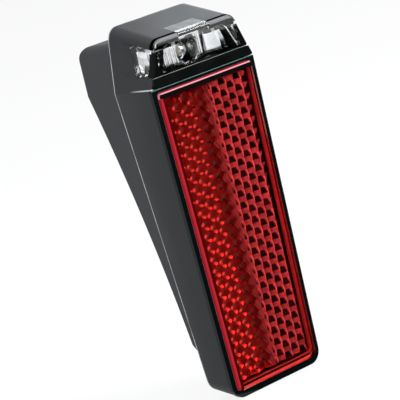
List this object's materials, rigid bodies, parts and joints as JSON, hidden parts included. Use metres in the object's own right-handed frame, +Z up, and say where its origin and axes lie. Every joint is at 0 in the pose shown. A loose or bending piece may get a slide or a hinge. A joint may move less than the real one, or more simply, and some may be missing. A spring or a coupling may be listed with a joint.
{
  "type": "bicycle rear light",
  "caption": "Slim mudguard rear light: clear lamp window with side windows over a tall red prismatic reflector, on a wedge.",
  "frame": {"origin": "mouth of the upper threaded insert in the back of the housing", "axes": "+Z up along the reflector, +Y towards the mudguard, so the light shines towards -Y"},
  "size_m": [0.03, 0.0239, 0.0824],
  "materials": {
    "housing_plastic": "fine matte grain",
    "wedge_plastic": "fine matte grain",
    "gloss_black": "polished",
    "red_reflector": "clear red, polished",
    "clear_plastic": "polished",
    "metallised": "mirror",
    "grey_plastic": "satin",
    "diode": "satin",
    "board": "solder resist",
    "can_sleeve": "satin",
    "chip_black": "matte",
    "tinned_brass": "tinned",
    "cream_plastic": "matte",
    "zinc_steel": "zinc plated",
    "seal_rubber": "matte",
    "insert_brass": "turned"
  },
  "bodies": {
    "root": {"housing": "housing_plastic", "front_bezel": "gloss_black", "reflex_reflector": "red_reflector", "window_lens": "clear_plastic", "lens_mask": "gloss_black", "mask_clips": "grey_plastic", "light_chamber": "metallised", "led_optic": "clear_plastic", "led": "diode", "circuit_board": "board", "storage_capacitor": "can_sleeve", "rectifier": "chip_black", "driver_chip": "chip_black", "resistors": "chip_black", "live_terminal": "tinned_brass", "earth_terminal": "tinned_brass", "terminal_block": "cream_plastic", "board_screws": "zinc_steel", "front_seal": "seal_rubber", "upper_insert": "insert_brass", "lower_insert": "insert_brass", "mudguard_wedge": "wedge_plastic"}
  },
  "joints": []
}
